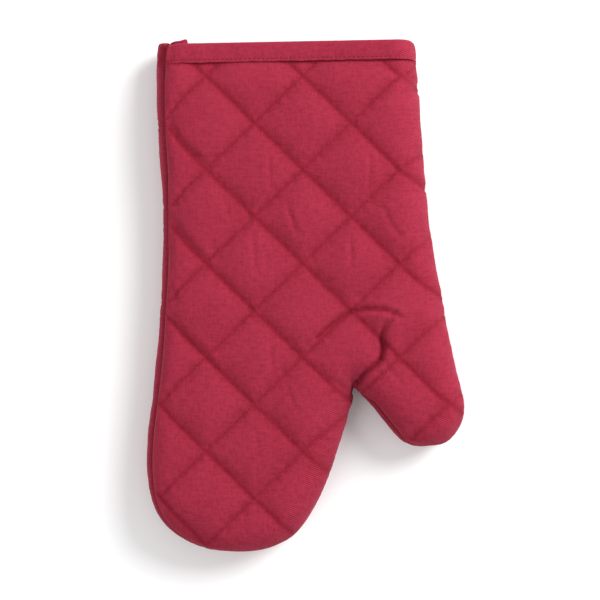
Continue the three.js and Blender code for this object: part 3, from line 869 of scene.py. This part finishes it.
def build_bartack():
    """A close zigzag of thread that fixes the loop's sewn end at the side of the cuff."""
    low, high = (np.array(c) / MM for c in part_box("loop_bartack"))
    x = (low[0] + high[0]) / 2
    count = 10
    y = np.linspace(low[1] + 0.2, high[1] - 0.2, count)
    z = np.where(np.arange(count) % 2, low[2] + 0.4, high[2] - 0.4)
    places = np.column_stack([np.full(count, x), y, z])
    outward = np.tile([1.0, 0.0, 0.0], (count - 1, 1))
    return stitches_between("bartack", places[:-1], places[1:], outward, radius=0.36, fill=1.1)


# Materials ----------------------------------------------------------------------------------------

CRIMSON_DARK, CRIMSON_LIGHT = (0.175, 0.003, 0.0125), (0.355, 0.027, 0.061)
PAINTED_SHADE_STRENGTH = 0.6  # how far the painted shade shifts the hollows towards the darker colour, and the painted highlight shifts the seam ridge towards the lighter


def new_group(name, inputs, outputs):
    group = bpy.data.node_groups.new(name, "ShaderNodeTree")
    for title, kind, value in inputs:
        socket = group.interface.new_socket(title, in_out="INPUT", socket_type=kind)
        if value is not None:
            socket.default_value = value
    for title, kind in outputs:
        group.interface.new_socket(title, in_out="OUTPUT", socket_type=kind)
    return group, group.nodes.new("NodeGroupInput"), group.nodes.new("NodeGroupOutput")


def add_node(tree, kind, links=None, **settings):
    """A node with its settings, and its inputs linked to sockets or set to values by name or number."""
    node = tree.nodes.new(kind)
    for key, value in settings.items():
        setattr(node, key, value)
    for key, value in (links or {}).items():
        if isinstance(value, bpy.types.NodeSocket):
            tree.links.new(value, node.inputs[key])
        else:
            node.inputs[key].default_value = value
    return node


def weave_group():
    """A cotton weave. Place is in decimetres on the cloth. Height is the relief of its yarns, and Shade
    the light and dark of yarns and slubs, about 0.5."""
    group, entry, leave = new_group("cotton_weave", [
        ("Place", "NodeSocketVector", None), ("Yarns", "NodeSocketFloat", 90.0),
        ("Lean", "NodeSocketFloat", 1.05), ("Slubs", "NodeSocketFloat", 0.5)],
        [("Height", "NodeSocketFloat"), ("Shade", "NodeSocketFloat")])
    place_in = entry.outputs["Place"]
    turned = add_node(group, "ShaderNodeVectorRotate", {"Vector": place_in, "Angle": entry.outputs["Lean"]},
                      rotation_type="Z_AXIS")
    twill = add_node(group, "ShaderNodeTexWave", {"Vector": turned.outputs[0], "Distortion": 1.2,
                     "Detail": 1.0, "Detail Scale": 3.0, "Scale": 28.0})
    scale = add_node(group, "ShaderNodeMath", {0: entry.outputs["Yarns"], 1: 0.314}, operation="MULTIPLY")
    group.links.new(scale.outputs[0], twill.inputs["Scale"])
    stretch = add_node(group, "ShaderNodeMapping", {"Vector": place_in, "Scale": (1.0, 0.35, 1.0)})
    yarn = add_node(group, "ShaderNodeTexNoise", {"Vector": stretch.outputs[0], "Scale": 62.0,
                    "Detail": 3.0})
    cross = add_node(group, "ShaderNodeMapping", {"Vector": place_in, "Scale": (0.35, 1.0, 1.0)})
    weft = add_node(group, "ShaderNodeTexNoise", {"Vector": cross.outputs[0], "Scale": 58.0, "Detail": 3.0})
    both = add_node(group, "ShaderNodeMath", {0: yarn.outputs[0], 1: weft.outputs[0]}, operation="ADD")
    slub = add_node(group, "ShaderNodeMix", {0: entry.outputs["Slubs"], 2: twill.outputs["Fac"],
                    3: both.outputs[0]})
    height = add_node(group, "ShaderNodeMath", {0: slub.outputs[0], 1: 0.8}, operation="MULTIPLY")
    group.links.new(height.outputs[0], leave.inputs["Height"])
    shade = add_node(group, "ShaderNodeMapRange", {"Value": slub.outputs[0], "From Min": 0.42,
                     "From Max": 0.98})
    group.links.new(shade.outputs[0], leave.inputs["Shade"])
    return group


def fade_group():
    """Uneven dye and light wear, from soft patches on the cloth. Amount is about 0.5."""
    group, entry, leave = new_group("uneven_dye", [
        ("Place", "NodeSocketVector", None), ("Patches", "NodeSocketFloat", 2.5)],
        [("Amount", "NodeSocketFloat")])
    soft = add_node(group, "ShaderNodeTexNoise", {"Vector": entry.outputs["Place"],
                    "Scale": entry.outputs["Patches"], "Detail": 4.0, "Roughness": 0.6})
    group.links.new(soft.outputs[0], leave.inputs["Amount"])
    return group


WEAVE = weave_group()
FADE = fade_group()


def cloth_material(name, dark, light, yarns, slubs=0.5, relief=0.45, rough=0.88, sheen=0.12, lean=1.05):
    """A dyed cotton, from its darker to its lighter yarns."""
    material = bpy.data.materials.new(name)
    material.use_nodes = True
    tree = material.node_tree
    shader = tree.nodes["Principled BSDF"]
    place_in = add_node(tree, "ShaderNodeUVMap", uv_map="cloth").outputs[0]
    weave = add_node(tree, "ShaderNodeGroup", node_tree=WEAVE)
    tree.links.new(place_in, weave.inputs["Place"])
    weave.inputs["Yarns"].default_value = yarns
    weave.inputs["Lean"].default_value = lean
    weave.inputs["Slubs"].default_value = slubs
    fade = add_node(tree, "ShaderNodeGroup", node_tree=FADE)
    tree.links.new(place_in, fade.inputs["Place"])
    mix = add_node(tree, "ShaderNodeMath", {0: weave.outputs["Shade"], 1: 0.8, 2: 0.1},
                   operation="MULTIPLY_ADD")
    both = add_node(tree, "ShaderNodeMath", {0: fade.outputs["Amount"], 1: 0.45, 2: mix.outputs[0]},
                    operation="MULTIPLY_ADD")
    shift = add_node(tree, "ShaderNodeMath", {0: both.outputs[0], 1: 0.22}, operation="SUBTRACT")
    # the painted shade and highlight darken or lighten the colour, more in some patches than others,
    # following the uneven dye
    painted_shade_highlight = add_node(tree, "ShaderNodeAttribute", attribute_name="painted_shade_highlight")
    patchy_shade = add_node(tree, "ShaderNodeMapRange", {"Value": fade.outputs["Amount"], "From Min": 0.35,
                      "From Max": 0.65, "To Min": -0.6 * PAINTED_SHADE_STRENGTH, "To Max": -1.2 * PAINTED_SHADE_STRENGTH})
    sunk = add_node(tree, "ShaderNodeMath", {0: painted_shade_highlight.outputs["Fac"], 1: patchy_shade.outputs[0],
                    2: shift.outputs[0]}, operation="MULTIPLY_ADD")
    colour = add_node(tree, "ShaderNodeMix", {0: sunk.outputs[0], 6: (*dark, 1), 7: (*light, 1)},
                      data_type="RGBA")
    tree.links.new(colour.outputs[2], shader.inputs["Base Color"])
    roughness = add_node(tree, "ShaderNodeMapRange", {"Value": weave.outputs["Shade"],
                         "To Min": rough - 0.06, "To Max": rough + 0.06})
    tree.links.new(roughness.outputs[0], shader.inputs["Roughness"])
    bump = add_node(tree, "ShaderNodeBump", {"Height": weave.outputs["Height"], "Strength": relief,
                    "Distance": 0.0006})
    tree.links.new(bump.outputs[0], shader.inputs["Normal"])
    shader.inputs["Specular IOR Level"].default_value = 0.15
    shader.inputs["Sheen Weight"].default_value = sheen
    shader.inputs["Sheen Roughness"].default_value = 0.45
    shader.inputs["Sheen Tint"].default_value = (1.0, 0.3, 0.4, 1)
    return material


def paint(obj, material):
    obj.data.materials.clear()
    obj.data.materials.append(material)


# Putting it together ------------------------------------------------------------------------------


def join_fingers(obj):
    """Bakes the placement of the hand piece, which runs from the palm to the fingers past the crotch of the
    thumb, into its mesh.
    """
    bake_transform(obj)


def join_thumb(obj):
    """Bakes the placement of the thumb piece, the part past the thumb's bending line, into its mesh."""
    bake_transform(obj)


def add_layer(obj, material, panel, node):
    """Parts a layer of a panel at the thumb, and lets both parts stand for their CAD nodes."""
    paint(obj, material)
    hand, thumb = part_at_thumb(obj)
    join_fingers(hand)
    join_thumb(thumb)
    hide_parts(f"{panel.name}_palm_{node}", f"{panel.name}_fingers_{node}")
    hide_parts(f"{panel.name}_thumb_{node}")


def build_mitt():
    shell_cotton = cloth_material("crimson_twill", CRIMSON_DARK, CRIMSON_LIGHT, 104)
    lining_cotton = cloth_material("crimson_lining", (0.14, 0.008, 0.021), (0.25, 0.019, 0.04), 120,
                                   slubs=0.8)
    tape = cloth_material("binding_tape", CRIMSON_DARK, CRIMSON_LIGHT, 110, lean=0.9)
    thread = cloth_material("sewing_thread", (0.14, 0.007, 0.018), (0.26, 0.016, 0.038), 260, relief=0.5)
    wadding = cloth_material("cotton_batting", (0.6, 0.56, 0.48), (0.82, 0.79, 0.72), 40, slubs=0.9)
    for panel in (FRONT, BACK):
        shell, stitches = build_shell(panel)
        add_layer(shell, shell_cotton, panel, "shell")
        add_layer(stitches, thread, panel, "quilting_thread")
        add_layer(build_lining(panel), lining_cotton, panel, "lining")
        add_layer(build_batting(panel), wadding, panel, "batting")
        for piece, material, slot, node in (
                (build_binding(panel), tape, "binding_tape", "cuff_binding"),
                (build_topstitching(panel), thread, "thread", "binding_stitching")):
            paint(piece, material)
            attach(piece, "palm")
            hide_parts(f"{panel.name}_{node}")
    seam = build_seam_stitches()
    paint(seam, thread)
    hand, thumb = part_at_thumb(seam)
    join_fingers(hand)
    join_thumb(thumb)
    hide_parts("left_seam_thread", "fingers_seam_thread", "right_seam_thread")
    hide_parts("thumb_seam_thread")
    loop = build_loop()
    paint(loop, tape)
    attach(loop, "hanging_loop")
    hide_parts("hanging_loop")
    bartack = build_bartack()
    paint(bartack, thread)
    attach(bartack, "palm")
    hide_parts("loop_bartack")


# Studio -------------------------------------------------------------------------------------------

FLOOR_SIZE, FLOOR_HEIGHT = 60, -0.0005
VIEW_WIDTH, VIEW_CENTRE = 0.3852, (-0.0029, -0.0027)  # what the camera shows, at half the mitt's height
LENS, SENSOR = 120, 36


def build_floor():
    bpy.ops.mesh.primitive_plane_add(size=FLOOR_SIZE, location=(0, 0, FLOOR_HEIGHT))
    floor = bpy.context.active_object
    floor.name = "studio_floor"
    material = bpy.data.materials.new("white_floor")
    material.use_nodes = True
    shader = material.node_tree.nodes["Principled BSDF"]
    shader.inputs["Base Color"].default_value = (0.93, 0.93, 0.93, 1)
    shader.inputs["Roughness"].default_value = 0.9
    shader.inputs["Specular IOR Level"].default_value = 0.1
    floor.data.materials.append(material)


def add_lamp(name, place_at, size, power):
    data = bpy.data.lights.new(name, "AREA")
    data.shape = "DISK"
    data.size = size
    data.energy = power
    lamp = bpy.data.objects.new(name, data)
    bpy.context.scene.collection.objects.link(lamp)
    lamp.location = place_at
    lamp.rotation_euler = Vector(place_at).to_track_quat("Z", "Y").to_euler()


def build_studio():
    build_floor()
    add_lamp("key", (1.2, 0.95, 1.1), 1.2, 44)
    add_lamp("fill", (-1.2, -0.4, 1.7), 1.6, 12)
    scene = bpy.context.scene
    world = bpy.data.worlds.new("studio")
    world.use_nodes = True
    background = world.node_tree.nodes["Background"]
    background.inputs["Color"].default_value = (1, 1, 1, 1)
    background.inputs["Strength"].default_value = 0.62
    scene.world = world
    scene.view_settings.view_transform = "Standard"
    camera = bpy.data.objects.new("camera", bpy.data.cameras.new("camera"))
    scene.collection.objects.link(camera)
    camera.data.lens = LENS
    camera.data.sensor_width = SENSOR
    camera.location = (*VIEW_CENTRE, 0.018 + VIEW_WIDTH * LENS / SENSOR)
    scene.camera = camera


build_mitt()
build_studio()
